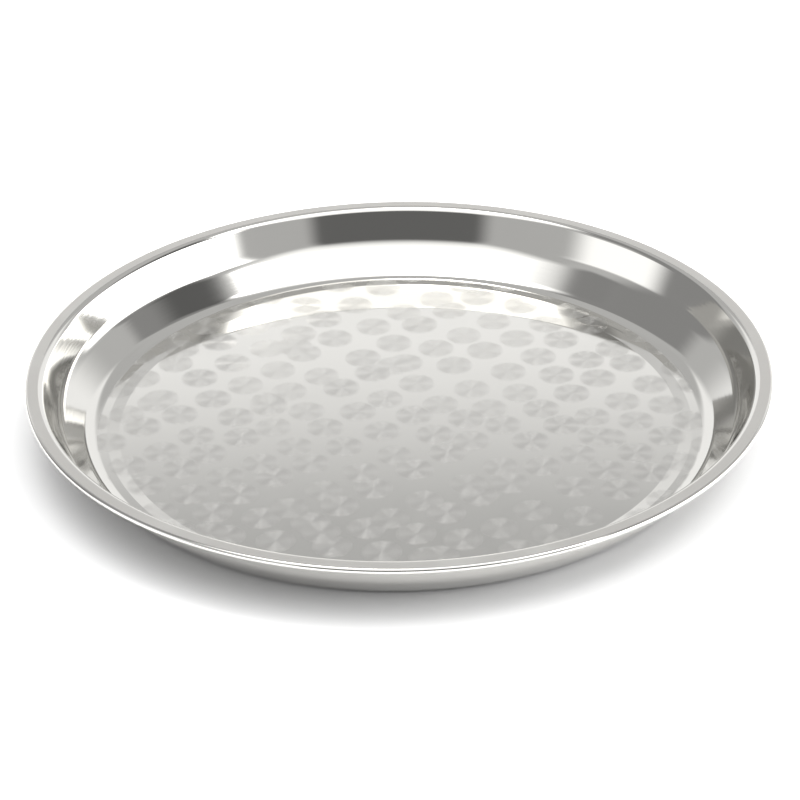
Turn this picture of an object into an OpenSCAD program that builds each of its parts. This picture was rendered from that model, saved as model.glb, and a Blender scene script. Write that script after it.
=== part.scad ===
// Round serving tray pressed from one steel sheet, its edge curled round a stiffening wire.
// The tray stands on the plane z = 0, centred on the z axis.

/* [Overall] */
// Diameter over the curled edge
tray_d = 400; // [380:1:450]
// Height of the rim above the table
rim_h = 34.8; // [30:0.1:44]
// Thickness of the steel sheet
sheet_t = 0.6; // [0.4:0.1:1]

/* [Floor edge] */
// Height by which the floor climbs at its edge, up a shallow ramp
ramp_h = 0.25; // [0.2:0.05:0.6]
// Width in plan of the ramp
ramp_w = 6.6; // [4:0.1:10]
// Radius of the ramp's two bends, on the sheet's middle line
ramp_r = 4.4; // [1:0.2:10]
// Width in plan of the ledge, from the ramp to the foot of the wall
ledge_w = 9.1; // [7:0.1:12]

/* [Wall] */
// Width in plan of the lower wall, from its foot to the shoulder
lower_w = 15.4; // [12:0.1:18]
// Width in plan of the upper wall, from the shoulder to the rim
upper_w = 8.3; // [6:0.1:12]
// Height at which the wall turns steeper
shoulder_h = 16.1; // [12:0.1:20]
// Radius of the bend at the wall's foot, on the inside of the tray
foot_r = 11.4; // [4:0.1:16]
// Radius of the bend at the shoulder, on the inside of the tray
shoulder_r = 20; // [4:1:60]

/* [Rim] */
// Width in plan of the rim, from the wall to the outside of the curled edge
rim_w = 8.8; // [8:0.1:12]
// Radius of the bend from wall to rim, on the top face
lip_r = 4; // [2:0.5:6]
// Angle by which the flat rim climbs outwards
rim_rise = 0; // [-4:0.5:8]

/* [Curled edge] */
// Diameter of the stiffening wire
wire_d = 2; // [1.5:0.1:3]
// Gap left between the wire and the curl
wire_gap = 0.05; // [0.02:0.01:0.1]
// Angle through which the edge is curled round the wire
curl_turn = 290; // [230:5:310]

/* [Hidden] */
$fn = 180;
// Largest angle between neighbouring points of a bend
bend_step = 6;

// Centre of the curl: its outside gives the tray's diameter and height
curl_mid_r = wire_d / 2 + wire_gap + sheet_t / 2;
curl_x = tray_d / 2 - curl_mid_r - sheet_t / 2;
curl_z = rim_h - curl_mid_r - sheet_t / 2;

// Point where the flat rim runs into the curl, on the sheet's middle line
rim_end = [curl_x - curl_mid_r * sin(rim_rise), curl_z + curl_mid_r * cos(rim_rise)];

// Corners of the sheet's middle line, from the tray's axis out to the curl
lip_x = tray_d / 2 - rim_w;
lip_z = rim_end.y - (rim_end.x - lip_x) * tan(rim_rise);
shoulder_x = lip_x - upper_w;
foot_x = shoulder_x - lower_w;
ramp_x = foot_x - ledge_w;
ledge_z = sheet_t / 2 + ramp_h;
corners = [
    [0, sheet_t / 2],
    [ramp_x - ramp_w, sheet_t / 2],
    [ramp_x, ledge_z],
    [foot_x, ledge_z],
    [shoulder_x, shoulder_h],
    [lip_x, lip_z],
    rim_end
];

// Middle-line radius of the bend at each corner; the ends have none
bend_radii = [0, ramp_r, ramp_r, foot_r + sheet_t / 2, shoulder_r + sheet_t / 2, lip_r - sheet_t / 2, 0];

last = len(corners) - 1;

// Direction of the stretch that leaves corner i, and how far the sheet turns there
function heading(i) = let (run = corners[i + 1] - corners[i]) atan2(run.y, run.x);
function turn(i) = heading(i) - heading(i - 1);

// Unit vector at an angle
function unit(angle) = [cos(angle), sin(angle)];

// Centre of the bend at corner i: level with the bend's start, on the side to which the sheet turns
function bend_centre(i) =
    let (back = bend_radii[i] * tan(abs(turn(i)) / 2))
    corners[i] - back * unit(heading(i - 1)) + sign(turn(i)) * bend_radii[i] * unit(heading(i - 1) + 90);

// Points of one face of the sheet round a bend that starts at a heading and turns by an angle
// The face is +1 for the top of the sheet and -1 for its underside
function bend_points(centre, mid_r, start, angle, face) =
    let (
        way = sign(angle),
        steps = ceil(abs(angle) / bend_step),
        r = mid_r - way * face * sheet_t / 2
    )
    [for (k = [0 : steps]) centre - way * r * unit(start + 90 + angle * k / steps)];

// All points of one face, from the tray's axis over the wall and the flat rim and round the wire
function face_points(face) = concat(
    [corners[0] + [0, face * sheet_t / 2]],
    [for (i = [1 : last - 1])
        each bend_points(bend_centre(i), bend_radii[i], heading(i - 1), turn(i), face)],
    bend_points([curl_x, curl_z], curl_mid_r, rim_rise, -curl_turn, face)
);

// A list from its end to its start
function reversed(list) = [for (i = [len(list) - 1 : -1 : 0]) list[i]];

// The pan: floor, ramp, ledge, wall, flat rim and curled edge, pressed in one piece from a round blank
module tray_pan() {
    color("silver")
        rotate_extrude()
            polygon(concat(face_points(-1), reversed(face_points(1))));
}

// The wire: a closed ring that the pan's edge is curled round
module rim_wire() {
    color("gray")
        rotate_extrude()
            translate([curl_x, curl_z])
                circle(wire_d / 2);
}

tray_pan();
rim_wire();
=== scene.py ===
import bpy
import numpy as np
from mathutils import Matrix, Vector


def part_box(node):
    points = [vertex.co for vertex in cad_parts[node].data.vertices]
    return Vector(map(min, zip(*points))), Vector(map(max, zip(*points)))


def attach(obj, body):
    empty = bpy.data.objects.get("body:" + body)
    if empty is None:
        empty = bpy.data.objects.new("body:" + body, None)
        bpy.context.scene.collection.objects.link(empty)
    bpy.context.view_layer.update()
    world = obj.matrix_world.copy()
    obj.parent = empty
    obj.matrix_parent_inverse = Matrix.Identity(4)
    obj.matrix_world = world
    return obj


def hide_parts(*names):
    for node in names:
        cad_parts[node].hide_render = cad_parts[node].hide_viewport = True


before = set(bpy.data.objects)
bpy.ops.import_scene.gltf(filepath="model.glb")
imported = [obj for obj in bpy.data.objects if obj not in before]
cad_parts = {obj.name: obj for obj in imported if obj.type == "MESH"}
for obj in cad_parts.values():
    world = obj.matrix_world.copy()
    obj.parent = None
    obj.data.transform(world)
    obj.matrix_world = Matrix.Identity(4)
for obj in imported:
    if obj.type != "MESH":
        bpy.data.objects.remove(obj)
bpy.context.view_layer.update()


# The wire: a closed ring of drawn steel wire, bright but not polished.
# The pan's edge is curled round it, which stiffens the rim and hides the sheet's cut edge.

WIRE_COLOUR = (0.55, 0.55, 0.54, 1.0)
GRIMY_COLOUR = (0.4125, 0.4125, 0.405, 1.0)
WIRE_ROUGHNESS = 0.32
GRIMY_ROUGHNESS = 0.48
GRIME_SIZE = 0.012
GRIME_START = 0.3
GRIME_FULL = 0.7
DRAW_MARK_SIZE = 0.0004
DRAW_MARK_DEPTH = 0.00004
DRAW_MARK_STRENGTH = 0.5


def put(tree, kind, sockets, **settings):
    """A new node with its settings; sockets maps an input's name or place to a link or a constant."""
    node = tree.nodes.new(kind)
    for name, value in settings.items():
        setattr(node, name, value)
    for name, value in sockets.items():
        if isinstance(value, bpy.types.NodeSocket):
            tree.links.new(value, node.inputs[name])
        else:
            node.inputs[name].default_value = value
    return node


def maths(tree, operation, *values):
    """The result of one operation on one, two or three values."""
    return put(tree, "ShaderNodeMath", dict(enumerate(values)), operation=operation).outputs[0]


def smooth(tree, value, start, end, low=0.0, high=1.0):
    """low + (high - low) s(t), with t from 0 at start to 1 at end and s(t) = 3 t^2 - 2 t^3."""
    sockets = {"Value": value, "From Min": start, "From Max": end, "To Min": low, "To Max": high}
    return put(tree, "ShaderNodeMapRange", sockets, interpolation_type="SMOOTHSTEP").outputs[0]


def blend(tree, share, first, second, kind):
    """first (1 - share) + second share, for values ("FLOAT"), vectors ("VECTOR") or colours ("RGBA")."""
    place = {"FLOAT": 2, "VECTOR": 4, "RGBA": 6}[kind]
    node = put(tree, "ShaderNodeMix", {0: share, place: first, place + 1: second}, data_type=kind)
    return node.outputs[place // 2 - 1]


def noise(tree, vector, size, detail=2.0):
    """A smooth noise of about 0 to 1 whose blobs are about size across."""
    sockets = {"Vector": vector, "Scale": 1.0 / size, "Detail": detail}
    return put(tree, "ShaderNodeTexNoise", sockets).outputs[0]


def metal(name):
    """An empty metal material: (material, its tree, its Principled node, its Object coordinates)."""
    material = bpy.data.materials.new(name)
    material.use_nodes = True
    tree = material.node_tree
    shader = tree.nodes["Principled BSDF"]
    shader.inputs["Metallic"].default_value = 1.0
    place = put(tree, "ShaderNodeTexCoord", {}).outputs["Object"]
    return material, tree, shader, place


def surface(tree, shader, colour, roughness):
    """Gives the shader a colour and a roughness that change over the surface."""
    tree.links.new(colour, shader.inputs["Base Color"])
    tree.links.new(roughness, shader.inputs["Roughness"])


def relief(tree, shader, height, depth=1.0, strength=1.0):
    """Bends the shader's normal as a relief of height times depth would."""
    bump = put(tree, "ShaderNodeBump", {"Height": height, "Distance": depth, "Strength": strength})
    tree.links.new(bump.outputs[0], shader.inputs["Normal"])


def wire_material():
    """Grey drawn steel: fine die marks as a bump, and patches of dull grime."""
    material, tree, shader, place = metal("drawn_wire")
    grime = noise(tree, place, GRIME_SIZE, detail=4.0)
    colour = blend(tree, grime, WIRE_COLOUR, GRIMY_COLOUR, "RGBA")
    roughness = smooth(tree, grime, GRIME_START, GRIME_FULL, WIRE_ROUGHNESS, GRIMY_ROUGHNESS)
    surface(tree, shader, colour, roughness)
    marks = noise(tree, place, DRAW_MARK_SIZE, detail=3.0)
    relief(tree, shader, marks, DRAW_MARK_DEPTH, DRAW_MARK_STRENGTH)
    return material


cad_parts["rim_wire"].data.materials[0] = wire_material()


# The pan: one round blank of stainless sheet, pressed to a flat floor with a shallow ramp and a ledge round
# it, a sloping wall with a soft shoulder and a flat rim, its edge curled over the wire. Wall and curl are
# polished, the floor is swirl-brushed spot by spot over the polish, rim and underside have a satin finish.

pan_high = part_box("tray_pan")[1]
wire_low, wire_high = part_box("rim_wire")
TRAY_R = pan_high[0]
RIM_H = pan_high[2]

# Sizes of the sheet's section
SHEET = 0.0006
RAMP_H = 0.00025
RAMP_W = 0.0066
RAMP_R = 0.0044
LEDGE_W = 0.0091
LOWER_W = 0.0154
UPPER_W = 0.0083
SHOULDER_H = 0.0161
RIM_W = 0.0088
FOOT_R = 0.0114
SHOULDER_R = 0.020
LIP_R = 0.004
RIM_RISE = np.radians(0)
CURL_TURN = np.radians(-290)

# Fineness of the mesh
TURNS = 320
BEND_STEP = np.radians(3)
CURL_STEP = np.radians(9)
EDGE_STEPS = 6
FLOOR_RINGS = 12
STRETCH_RINGS = 6


def left_of(heading):
    """Unit vectors (-sin h, cos h) to the left of headings, seen along the section."""
    return np.stack([-np.sin(heading), np.cos(heading)], -1)


def bend(start, heading, turn, radius, step):
    """Points c - s r left(h) and headings h round a bend: c = start + s r left(h0), s the turn's sign."""
    way = np.sign(turn)
    headings = heading + turn * np.linspace(0, 1, int(np.ceil(abs(turn) / step)) + 1)
    centre = start + way * radius * left_of(heading)
    return centre - way * radius * left_of(headings), headings


def stretch(start, end, heading, rings):
    """Points start + t (end - start) that cut a straight stretch into rings, and their headings.

    The two ends are left out, because the neighbouring pieces hold them.
    """
    share = np.linspace(0, 1, rings + 1)[1:-1, None]
    return start + share * (end - start), np.full(rings - 1, heading)


def pan_line():
    """The sheet's middle line from the axis to the end of the curl, and its heading at each point.

    Straight stretches join the corners; each corner is rounded by a bend that starts r tan(turn / 2)
    before it. The curl goes round the wire's centre at the sheet's middle line.
    """
    wire_r = (wire_high[2] - wire_low[2]) / 2
    curl = np.array([wire_high[0] - wire_r, wire_low[2] + wire_r])
    curl_r = TRAY_R - SHEET / 2 - curl[0]
    rim_end = curl + curl_r * left_of(RIM_RISE)
    lip_x = TRAY_R - RIM_W
    lip_z = rim_end[1] - (rim_end[0] - lip_x) * np.tan(RIM_RISE)
    shoulder_x = lip_x - UPPER_W
    foot_x = shoulder_x - LOWER_W
    ramp_x = foot_x - LEDGE_W
    floor_z = SHEET / 2
    ledge_z = floor_z + RAMP_H
    corners = np.array([
        (0.0, floor_z),
        (ramp_x - RAMP_W, floor_z),
        (ramp_x, ledge_z),
        (foot_x, ledge_z),
        (shoulder_x, SHOULDER_H),
        (lip_x, lip_z),
        rim_end,
    ])
    radii = [RAMP_R, RAMP_R, FOOT_R + SHEET / 2, SHOULDER_R + SHEET / 2, LIP_R - SHEET / 2]
    runs = np.diff(corners, axis=0)
    headings = np.arctan2(runs[:, 1], runs[:, 0])
    pieces = [(corners[:1], headings[:1])]
    for k, radius in enumerate(radii):
        turn = headings[k + 1] - headings[k]
        back = radius * np.tan(abs(turn) / 2)
        start = corners[k + 1] - back * runs[k] / np.linalg.norm(runs[k])
        rings = FLOOR_RINGS if k == 0 else STRETCH_RINGS
        pieces.append(stretch(pieces[-1][0][-1], start, headings[k], rings))
        pieces.append(bend(start, headings[k], turn, radius, BEND_STEP))
    pieces.append(stretch(pieces[-1][0][-1], rim_end, RIM_RISE, STRETCH_RINGS))
    pieces.append(bend(rim_end, RIM_RISE, CURL_TURN, curl_r, CURL_STEP))
    points, ways = zip(*pieces)
    return np.concatenate(points), np.concatenate(ways)


def pan_section():
    """Closed outline of the sheet and its outward normals: top face, rounded cut edge, underside."""
    line, ways = pan_line()
    up = left_of(ways)
    across = np.linspace(0, np.pi, EDGE_STEPS + 1)[1:-1, None]
    ahead = np.array([np.cos(ways[-1]), np.sin(ways[-1])])
    edge = np.cos(across) * up[-1] + np.sin(across) * ahead
    normals = np.concatenate([up, edge, -up[::-1]])
    middles = np.concatenate([line, np.repeat(line[-1:], len(edge), 0), line[::-1]])
    return middles + normals * SHEET / 2, normals


def revolve(name, section, normals, turns):
    """A solid of revolution: (r, z) goes to (r cos a, r sin a, z). The section's two ends are poles."""
    angle = np.linspace(0, 2 * np.pi, turns, endpoint=False)

    def spin(pairs):
        """Each (r, z) pair carried round all the angles, one ring per pair."""
        r, z = pairs[:, :1], pairs[:, 1:]
        ring = [r * np.cos(angle), r * np.sin(angle), np.broadcast_to(z, (len(pairs), turns))]
        return np.stack(ring, -1).reshape(-1, 3)

    def closed(pairs):
        """The rings between the two poles, then the first pole and the last."""
        poles = np.array([[0.0, 0.0, pairs[0, 1]], [0.0, 0.0, pairs[-1, 1]]])
        return np.concatenate([spin(pairs[1:-1]), poles])

    rings = len(section) - 2
    place = np.arange(rings * turns).reshape(rings, turns)
    after = np.roll(place, -1, axis=1)
    quads = np.stack([place[:-1], place[1:], after[1:], after[:-1]], -1).reshape(-1, 4)
    first_pole = rings * turns
    first_fan = np.stack([np.full(turns, first_pole), place[0], after[0]], -1)
    last_fan = np.stack([np.full(turns, first_pole + 1), after[-1], place[-1]], -1)
    mesh = bpy.data.meshes.new(name)
    faces = quads.tolist() + first_fan.tolist() + last_fan.tolist()
    mesh.from_pydata(closed(section), [], faces)
    mesh.shade_smooth()
    mesh.normals_split_custom_set_from_vertices(closed(normals))
    piece = bpy.data.objects.new(name, mesh)
    bpy.context.collection.objects.link(piece)
    return piece


HAZE_SIZE = 0.05
HAZE_START = 0.45
HAZE_FULL = 0.75
SCUFF_SIZE = 0.02
SCUFF_SQUEEZE = 40
SCUFF_TURN = 0.6
SCUFF_START = 0.68
SCUFF_FULL = 0.74


def steel_wear():
    """Node group: what handling leaves on steel. Haze and Scuffs are 0 to 1, scuffs long and narrow."""
    tree = bpy.data.node_groups.new("steel_wear", "ShaderNodeTree")
    tree.interface.new_socket("Place", in_out="INPUT", socket_type="NodeSocketVector")
    tree.interface.new_socket("Haze", in_out="OUTPUT", socket_type="NodeSocketFloat")
    tree.interface.new_socket("Scuffs", in_out="OUTPUT", socket_type="NodeSocketFloat")
    place = tree.nodes.new("NodeGroupInput").outputs[0]
    out = tree.nodes.new("NodeGroupOutput")
    clouds = noise(tree, place, HAZE_SIZE, detail=3.0)
    tree.links.new(smooth(tree, clouds, HAZE_START, HAZE_FULL), out.inputs["Haze"])
    sockets = {"Vector": place, "Rotation": (0, 0, SCUFF_TURN), "Scale": (1, SCUFF_SQUEEZE, 1)}
    squeezed = put(tree, "ShaderNodeMapping", sockets).outputs[0]
    streaks = noise(tree, squeezed, SCUFF_SIZE)
    tree.links.new(smooth(tree, streaks, SCUFF_START, SCUFF_FULL), out.inputs["Scuffs"])
    return tree


wear_group = steel_wear()


def worn(tree, place):
    """The wear group's outputs at a place: Haze and Scuffs."""
    return put(tree, "ShaderNodeGroup", {"Place": place}, node_tree=wear_group).outputs


STEEL = (0.80, 0.79, 0.76, 1.0)
HAZY_STEEL = (0.76, 0.75, 0.72, 1.0)
HAZE_SHARE = 0.25
POLISH_ROUGHNESS = 0.07
HAZE_ROUGHNESS = 0.09
WAVE_SIZE = 0.06
WAVE_DEPTH = 0.00014
RIPPLE_SQUEEZE = 40
RIPPLE_DEPTH = 0.00001


def polished_material():
    """Polished steel: faint waves of the pressed sheet, finer ripples along the wall, and a light haze."""
    material, tree, shader, place = metal("polished_steel")
    haze = worn(tree, place)["Haze"]
    colour = blend(tree, maths(tree, "MULTIPLY", haze, HAZE_SHARE), STEEL, HAZY_STEEL, "RGBA")
    roughness = maths(tree, "MULTIPLY_ADD", haze, HAZE_ROUGHNESS - POLISH_ROUGHNESS, POLISH_ROUGHNESS)
    surface(tree, shader, colour, roughness)
    waves = maths(tree, "MULTIPLY", noise(tree, place, WAVE_SIZE, detail=0.0), WAVE_DEPTH)
    sockets = {"Vector": place, "Scale": (1, 1, RIPPLE_SQUEEZE)}
    squeezed = put(tree, "ShaderNodeMapping", sockets).outputs[0]
    ripples = noise(tree, squeezed, WAVE_SIZE, detail=1.0)
    relief(tree, shader, maths(tree, "MULTIPLY_ADD", ripples, RIPPLE_DEPTH, waves))
    return material


FLOOR_POLISH = 0.03
FLOOR_HAZE = 0.05
ROW_TURN = np.radians(-12)
SPOT_PITCH = 0.0275
ROW_PITCH = 0.0198
HALF_STEP = (0.5, 0.5, 0.0)
SPOT_R = 0.0103
SPOT_EDGE = 0.0026
SPOT_STRAY = 0.28
SPOT_COLOUR = (0.70, 0.69, 0.665, 1.0)
SPOT_ROUGHNESS = 0.31
SPOT_ANISOTROPY = 1.0
LIGHT_PRESS = 0.7
ON_TOP = 0.3
RING_PITCH = 0.00025
RING_START = -0.45
RING_FULL = -0.15
RING_FADE = 2.0
STRAY_CELL = 0.062
STRAY_STEP = (0.3, 0.1, 0.0)
STRAY_SHARE = 0.45


def vectors(tree, operation, *values):
    """The result of one operation on vectors: a value for LENGTH, else a vector."""
    outputs = put(tree, "ShaderNodeVectorMath", dict(enumerate(values)), operation=operation).outputs
    return outputs["Value" if operation == "LENGTH" else "Vector"]


def turned(tree, vector, angle):
    """A vector turned by an angle about the tray's axis."""
    sockets = {"Vector": vector, "Angle": angle}
    return put(tree, "ShaderNodeVectorRotate", sockets, rotation_type="Z_AXIS").outputs[0]


def ring_wave(tree, radius, pitch):
    """sin(2 pi radius / pitch): a wave that goes from ring to ring."""
    return maths(tree, "SINE", maths(tree, "MULTIPLY", radius, 2 * np.pi / pitch))


def spot_layer(tree, rows, cell, step, share):
    """One sparse grid of spots, a cell each: (mask, offset from the spot's centre in metres).

    The grid is shifted by a step, given in cells. Each cell's point strays at random, and only the given
    share of the cells holds a spot.
    """
    grid = vectors(tree, "MULTIPLY", rows, (1.0 / cell[0], 1.0 / cell[1], 0.0))
    grid = vectors(tree, "ADD", grid, step)
    sockets = {"Vector": grid, "Scale": 1.0, "Randomness": SPOT_STRAY}
    cells = put(tree, "ShaderNodeTexVoronoi", sockets, voronoi_dimensions="2D")
    offset = vectors(tree, "SUBTRACT", grid, cells.outputs["Position"])
    offset = vectors(tree, "MULTIPLY", offset, (cell[0], cell[1], 0.0))
    radius = vectors(tree, "LENGTH", offset)
    mask = smooth(tree, radius, SPOT_R + SPOT_EDGE, SPOT_R - SPOT_EDGE)
    chance = put(tree, "ShaderNodeSeparateColor", {"Color": cells.outputs["Color"]})
    there = maths(tree, "LESS_THAN", chance.outputs[0], share)
    press = maths(tree, "MULTIPLY_ADD", chance.outputs[1], 1.0 - LIGHT_PRESS, LIGHT_PRESS)
    return maths(tree, "MULTIPLY", mask, maths(tree, "MULTIPLY", there, press)), offset


def swirl_material():
    """Polished steel with round spots brushed by a turning pad, row after row, later spots over earlier.

    In a spot fine scratches run round its centre, so the steel is rough along the radius: the tangent is
    the radius and the anisotropy stretches the reflection along it. A scratch is a crest of the rings.
    Towards the spot's edge the rings sink, so the scratches thin out; between the spots is a mirror.
    """
    material, tree, shader, place = metal("swirl_steel")
    rows = turned(tree, place, -ROW_TURN)
    pair = (SPOT_PITCH, 2 * ROW_PITCH)
    mask, offset = spot_layer(tree, rows, pair, (0.0, 0.0, 0.0), 1.0)
    later_layers = [
        (pair, HALF_STEP, 1.0),
        ((STRAY_CELL, STRAY_CELL), STRAY_STEP, STRAY_SHARE),
    ]
    for layer in later_layers:
        later, later_offset = spot_layer(tree, rows, *layer)
        on_top = maths(tree, "GREATER_THAN", later, ON_TOP)
        offset = blend(tree, on_top, offset, later_offset, "VECTOR")
        mask = maths(tree, "MAXIMUM", mask, later)
    tree.links.new(vectors(tree, "NORMALIZE", turned(tree, offset, ROW_TURN)), shader.inputs["Tangent"])
    shader.inputs["Anisotropic"].default_value = SPOT_ANISOTROPY
    waves = ring_wave(tree, vectors(tree, "LENGTH", offset), RING_PITCH)
    sunk = maths(tree, "MULTIPLY_ADD", mask, RING_FADE, maths(tree, "SUBTRACT", waves, RING_FADE))
    scratches = smooth(tree, sunk, RING_START, RING_FULL)
    haze = worn(tree, place)["Haze"]
    polish = maths(tree, "MULTIPLY_ADD", haze, FLOOR_HAZE - FLOOR_POLISH, FLOOR_POLISH)
    colour = blend(tree, scratches, STEEL, SPOT_COLOUR, "RGBA")
    surface(tree, shader, colour, blend(tree, scratches, polish, SPOT_ROUGHNESS, "FLOAT"))
    return material


SATIN_COLOUR = (0.62, 0.61, 0.60, 1.0)
SATIN_ROUGHNESS = 0.28
SATIN_HAZE = 0.1
TOOL_MARK_PITCH = 0.0012
TOOL_MARK_DEPTH = 0.00001
TOOL_MARK_WANDER = 0.03


def from_axis(tree, place):
    """Distance from the tray's axis: the length of (x, y, 0)."""
    return vectors(tree, "LENGTH", vectors(tree, "MULTIPLY", place, (1, 1, 0)))


def satin_material():
    """The underside: rolled and spun sheet, with fine round tool marks and scuffs from tables."""
    material, tree, shader, place = metal("satin_steel")
    wear = worn(tree, place)
    colour = blend(tree, wear["Scuffs"], SATIN_COLOUR, STEEL, "RGBA")
    surface(tree, shader, colour, maths(tree, "MULTIPLY_ADD", wear["Haze"], SATIN_HAZE, SATIN_ROUGHNESS))
    wander = noise(tree, place, TOOL_MARK_WANDER)
    radius = maths(tree, "MULTIPLY_ADD", wander, TOOL_MARK_PITCH, from_axis(tree, place))
    relief(tree, shader, ring_wave(tree, radius, TOOL_MARK_PITCH), TOOL_MARK_DEPTH)
    return material


RIM_COLOUR = (0.71, 0.695, 0.665, 1.0)
RIM_ROUGHNESS = 0.34
RIM_HAZE = 0.09
RIM_LINE_PITCH = 0.0004
RIM_LINE_DEPTH = 0.000004


def rim_material():
    """The flat rim: a satin ring, with fine lines round it from the turning of the tray against a belt."""
    material, tree, shader, place = metal("rim_steel")
    haze = worn(tree, place)["Haze"]
    colour = blend(tree, haze, RIM_COLOUR, HAZY_STEEL, "RGBA")
    surface(tree, shader, colour, maths(tree, "MULTIPLY_ADD", haze, RIM_HAZE, RIM_ROUGHNESS))
    relief(tree, shader, ring_wave(tree, from_axis(tree, place), RIM_LINE_PITCH), RIM_LINE_DEPTH)
    return material


POLISHED, SWIRL, SATIN, RIM = range(4)
SWIRL_MARGIN = 0.0035
# Least share of a face's normal along the axis, for underside and rim to count as level
LEVEL_FLOOR = 0.999
LEVEL_RIM = 0.99

pan = revolve("pan", *pan_section(), TURNS)
for finish in (polished_material(), swirl_material(), satin_material(), rim_material()):
    pan.data.materials.append(finish)


def face_values(mesh, name):
    """A vector of each face, such as its centre or its normal, as rows of three."""
    values = np.empty(3 * len(mesh.polygons))
    mesh.polygons.foreach_get(name, values)
    return values.reshape(-1, 3)


centres = face_values(pan.data, "center")
upward_share = face_values(pan.data, "normal")[:, 2]
reach = np.hypot(centres[:, 0], centres[:, 1])
height = centres[:, 2]
swirl_r = TRAY_R - RIM_W - UPPER_W - LOWER_W - SWIRL_MARGIN
on_floor = (reach < swirl_r) & (upward_share > 0) & (height < SHOULDER_H)
beneath = (upward_share < -LEVEL_FLOOR) & (height < 2 * SHEET)
on_rim = (upward_share > LEVEL_RIM) & (height > RIM_H - SHEET)
finish_index = np.select([on_floor, beneath, on_rim], [SWIRL, SATIN, RIM], POLISHED)
pan.data.polygons.foreach_set("material_index", finish_index.astype(np.int32))
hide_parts("tray_pan")
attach(pan, "root")


# The studio: a white table in a dim room, a big soft light overhead with a brighter middle and two strips,
# a light box at each side with a dark gap above it, and a pale backdrop.
# The room on the camera's side is dark, and shows as the dark patch at the back of the polished wall.

TABLE_SIZE = 12.0
TABLE_GAP = 0.0003
# The table's colour for the light that it throws back, and for rays that show it
TABLE_LIT = (0.12, 0.12, 0.12, 1.0)
TABLE_SHOWN = (1.5, 1.5, 1.5, 1.0)
HALF_BOUNCE = 0.5


def seen_directly(tree):
    """1 for rays from the camera, straight or by way of metal and glass, 0 for those that gather light."""
    path = put(tree, "ShaderNodeLightPath", {}).outputs
    seen = maths(tree, "MAXIMUM", path["Is Camera Ray"], path["Is Glossy Ray"])
    seen = maths(tree, "MAXIMUM", seen, path["Is Transmission Ray"])
    return maths(tree, "MULTIPLY", seen, maths(tree, "LESS_THAN", path["Diffuse Depth"], HALF_BOUNCE))


def table_material():
    """A matt table that shows white and keeps its shadows, but throws little light back at the tray."""
    material = bpy.data.materials.new("white_table")
    material.use_nodes = True
    tree = material.node_tree
    tree.nodes.remove(tree.nodes["Principled BSDF"])
    colour = blend(tree, seen_directly(tree), TABLE_LIT, TABLE_SHOWN, "RGBA")
    matt = put(tree, "ShaderNodeBsdfDiffuse", {"Color": colour}).outputs[0]
    tree.links.new(matt, tree.nodes["Material Output"].inputs["Surface"])
    return material


half = TABLE_SIZE / 2
table_corners = [(x * half, y * half, -TABLE_GAP) for x, y in ((-1, -1), (1, -1), (1, 1), (-1, 1))]
table_mesh = bpy.data.meshes.new("table")
table_mesh.from_pydata(table_corners, [], [(0, 1, 2, 3)])
table_mesh.materials.append(table_material())
table = bpy.data.objects.new("table", table_mesh)
bpy.context.collection.objects.link(table)

# Strengths of the room's stretches, the gaps, the upright panels and the panels overhead
CAMERA_SIDE = 0.14
FLANKS = 0.50
LEFT_ROOM = 0.55
LEFT_BACK = 0.28
BEHIND = 0.53
RIGHT_BACK = 0.28
RIGHT_GAP = 0.12
LEFT_GAP = 0.27
BACKDROP = 1.03
BACKDROP_EDGE = 0.51
RIGHT_BOX = 3.0
LEFT_BOX = 1.3
OVERHEAD = 1.28
OVERHEAD_MIDDLE = 1.75
RIGHT_STRIP = 7.0
LEFT_STRIP = 7.5
# How far the overhead panels' back edges bow, and how many times softer their front edges are
OVERHEAD_BOW = 0.58
FRONT_SOFTNESS = 2.5
# Height that stands in for a level ray's, so that its slopes stay finite
LEAST_UP = 0.001


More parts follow.
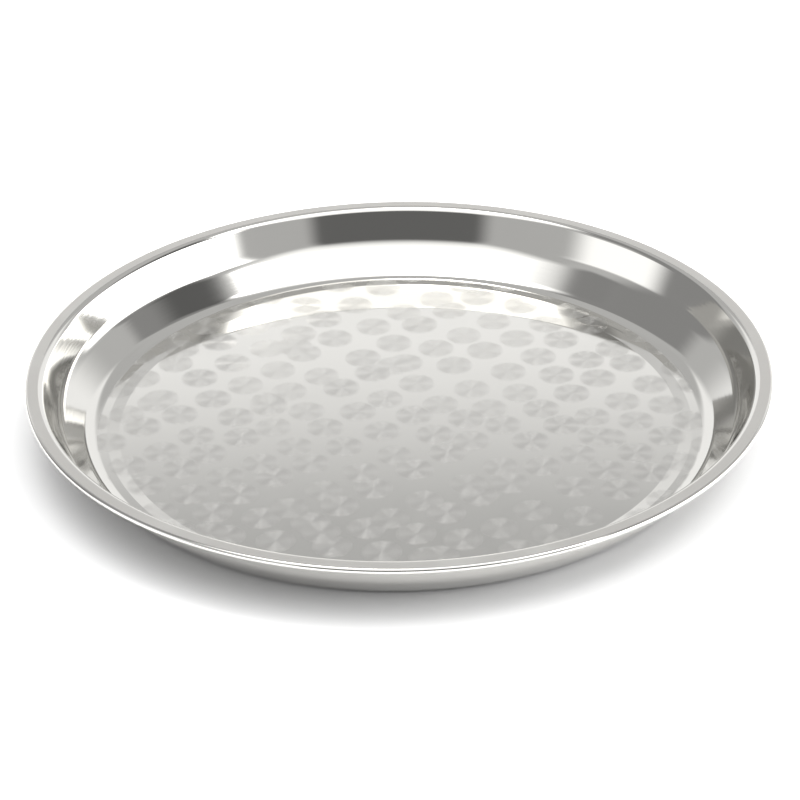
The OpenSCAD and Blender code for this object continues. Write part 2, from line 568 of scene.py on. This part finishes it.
def studio():
    """The light from every direction, by azimuth and elevation in degrees.

    Azimuth is 0 behind the tray and 90 to its right. The panels overhead go by a ray's slopes instead:
    how far it goes across and along for each unit of height.
    """
    world = bpy.data.worlds.new("studio")
    world.use_nodes = True
    tree = world.node_tree
    ray = put(tree, "ShaderNodeTexCoord", {}).outputs["Generated"]
    x, y, z = put(tree, "ShaderNodeSeparateXYZ", {0: ray}).outputs
    azimuth = maths(tree, "DEGREES", maths(tree, "ARCTAN2", x, y))
    elevation = maths(tree, "DEGREES", maths(tree, "ARCSINE", z))
    up = maths(tree, "MAXIMUM", z, LEAST_UP)
    across = maths(tree, "DIVIDE", x, up)
    along = maths(tree, "DIVIDE", y, up)

    def within(value, low, high, edge):
        """1 between low and high, with soft edges."""
        rise = smooth(tree, value, low - edge, low + edge)
        fall = smooth(tree, value, high + edge, high - edge)
        return maths(tree, "MULTIPLY", rise, fall)

    def panel(light, strength, sides, edge, top, soft, slope=0.0, highest=90.0):
        """Adds an upright panel between two azimuths, its top edge at top + slope * azimuth up to highest."""
        brim = maths(tree, "MINIMUM", maths(tree, "MULTIPLY_ADD", azimuth, slope, top), highest)
        below = smooth(tree, maths(tree, "SUBTRACT", elevation, brim), soft, -soft)
        mask = maths(tree, "MULTIPLY", within(azimuth, *sides, edge), below)
        return blend(tree, mask, light, strength, "FLOAT")

    def gap(light, strength, sides, edge, bottom, soft):
        """Adds what shows between two azimuths above an elevation, where no panel covers it."""
        above = smooth(tree, elevation, bottom - soft, bottom + soft)
        mask = maths(tree, "MULTIPLY", within(azimuth, *sides, edge), above)
        return blend(tree, mask, light, strength, "FLOAT")

    def overhead(light, strength, sides, ends, edge, side_edge=0.1):
        """Adds a level panel above the tray, between two slopes across and two along.

        The back edge bows towards the camera at the sides, by the square of the slope across.
        """
        bowed = maths(tree, "MULTIPLY_ADD", maths(tree, "MULTIPLY", across, across), OVERHEAD_BOW, along)
        soft_front = FRONT_SOFTNESS * edge
        front = smooth(tree, along, ends[0] - soft_front, ends[0] + soft_front)
        back = smooth(tree, bowed, ends[1] + edge, ends[1] - edge)
        length = maths(tree, "MULTIPLY", front, back)
        mask = maths(tree, "MULTIPLY", within(across, *sides, side_edge), length)
        return blend(tree, mask, light, strength, "FLOAT")

    room_steps = [
        (-154.0, -146.0, FLANKS),
        (-118.0, -108.0, LEFT_ROOM),
        (-100.0, -80.0, LEFT_BACK),
        (-57.0, -50.0, BEHIND),
        (63.0, 68.0, RIGHT_BACK),
        (96.0, 108.0, FLANKS),
        (148.0, 155.0, CAMERA_SIDE),
    ]
    light = CAMERA_SIDE
    for begin, end, next_light in room_steps:
        light = blend(tree, smooth(tree, azimuth, begin, end), light, next_light, "FLOAT")
    light = gap(light, LEFT_GAP, sides=(-104.0, -83.0), edge=5.0, bottom=37.0, soft=4.0)
    light = gap(light, RIGHT_GAP, sides=(78.0, 98.0), edge=5.0, bottom=33.0, soft=4.0)
    light = panel(light, BACKDROP_EDGE, sides=(-40.0, 50.0), edge=6.0, top=43.5, soft=2.2)
    light = panel(light, BACKDROP, sides=(-36.0, 45.0), edge=9.0, top=30.6, soft=2.3)
    light = panel(light, RIGHT_BOX, (56.0, 124.0), edge=5.0, top=-12.0, soft=3.0, slope=0.48, highest=38.5)
    light = panel(light, LEFT_BOX, sides=(-117.0, -86.0), edge=6.0, top=-12.9, soft=3.0, slope=-0.325)
    light = overhead(light, OVERHEAD, (-0.81, 0.84), ends=(-1.13, 0.20), edge=0.19, side_edge=0.24)
    light = overhead(light, OVERHEAD_MIDDLE, sides=(-0.65, 0.65), ends=(-0.45, 0.22), edge=0.15)
    light = overhead(light, LEFT_STRIP, sides=(-0.45, 0.0), ends=(0.1, 0.22), edge=0.05)
    light = overhead(light, RIGHT_STRIP, sides=(0.42, 0.74), ends=(-0.3, 0.2), edge=0.08)
    camera_ray = put(tree, "ShaderNodeLightPath", {}).outputs["Is Camera Ray"]
    light = blend(tree, camera_ray, light, 1.0, "FLOAT")
    tree.links.new(light, tree.nodes["Background"].inputs["Strength"])
    tree.nodes["Background"].inputs["Color"].default_value = (1, 1, 1, 1)
    return world


bpy.context.scene.world = studio()
bpy.context.scene.view_settings.view_transform = "Standard"


# The camera: a long lens, looking down at 30 degrees from the front, turned a little.
# Its place was fitted to the tray's outlines in the photograph.

LENS = 135.0
SENSOR_WIDTH = 36.0
CAMERA_TARGET = Vector((0.00044, 0.02184, 0.0008))
CAMERA_DISTANCE = 1.6471
CAMERA_ELEVATION = np.radians(29.99)
CAMERA_ROLL = np.radians(0.99)

camera_data = bpy.data.cameras.new("camera")
camera_data.lens = LENS
camera_data.sensor_width = SENSOR_WIDTH
camera = bpy.data.objects.new("camera", camera_data)
bpy.context.collection.objects.link(camera)
toward = Vector((0.0, np.cos(CAMERA_ELEVATION), -np.sin(CAMERA_ELEVATION)))
level_right = Vector((1.0, 0.0, 0.0))
level_up = level_right.cross(toward)
right = level_right * np.cos(CAMERA_ROLL) - level_up * np.sin(CAMERA_ROLL)
upward = level_right * np.sin(CAMERA_ROLL) + level_up * np.cos(CAMERA_ROLL)
pose = Matrix((right, upward, -toward)).transposed().to_4x4()
pose.translation = CAMERA_TARGET - toward * CAMERA_DISTANCE
camera.matrix_world = pose
bpy.context.scene.camera = camera
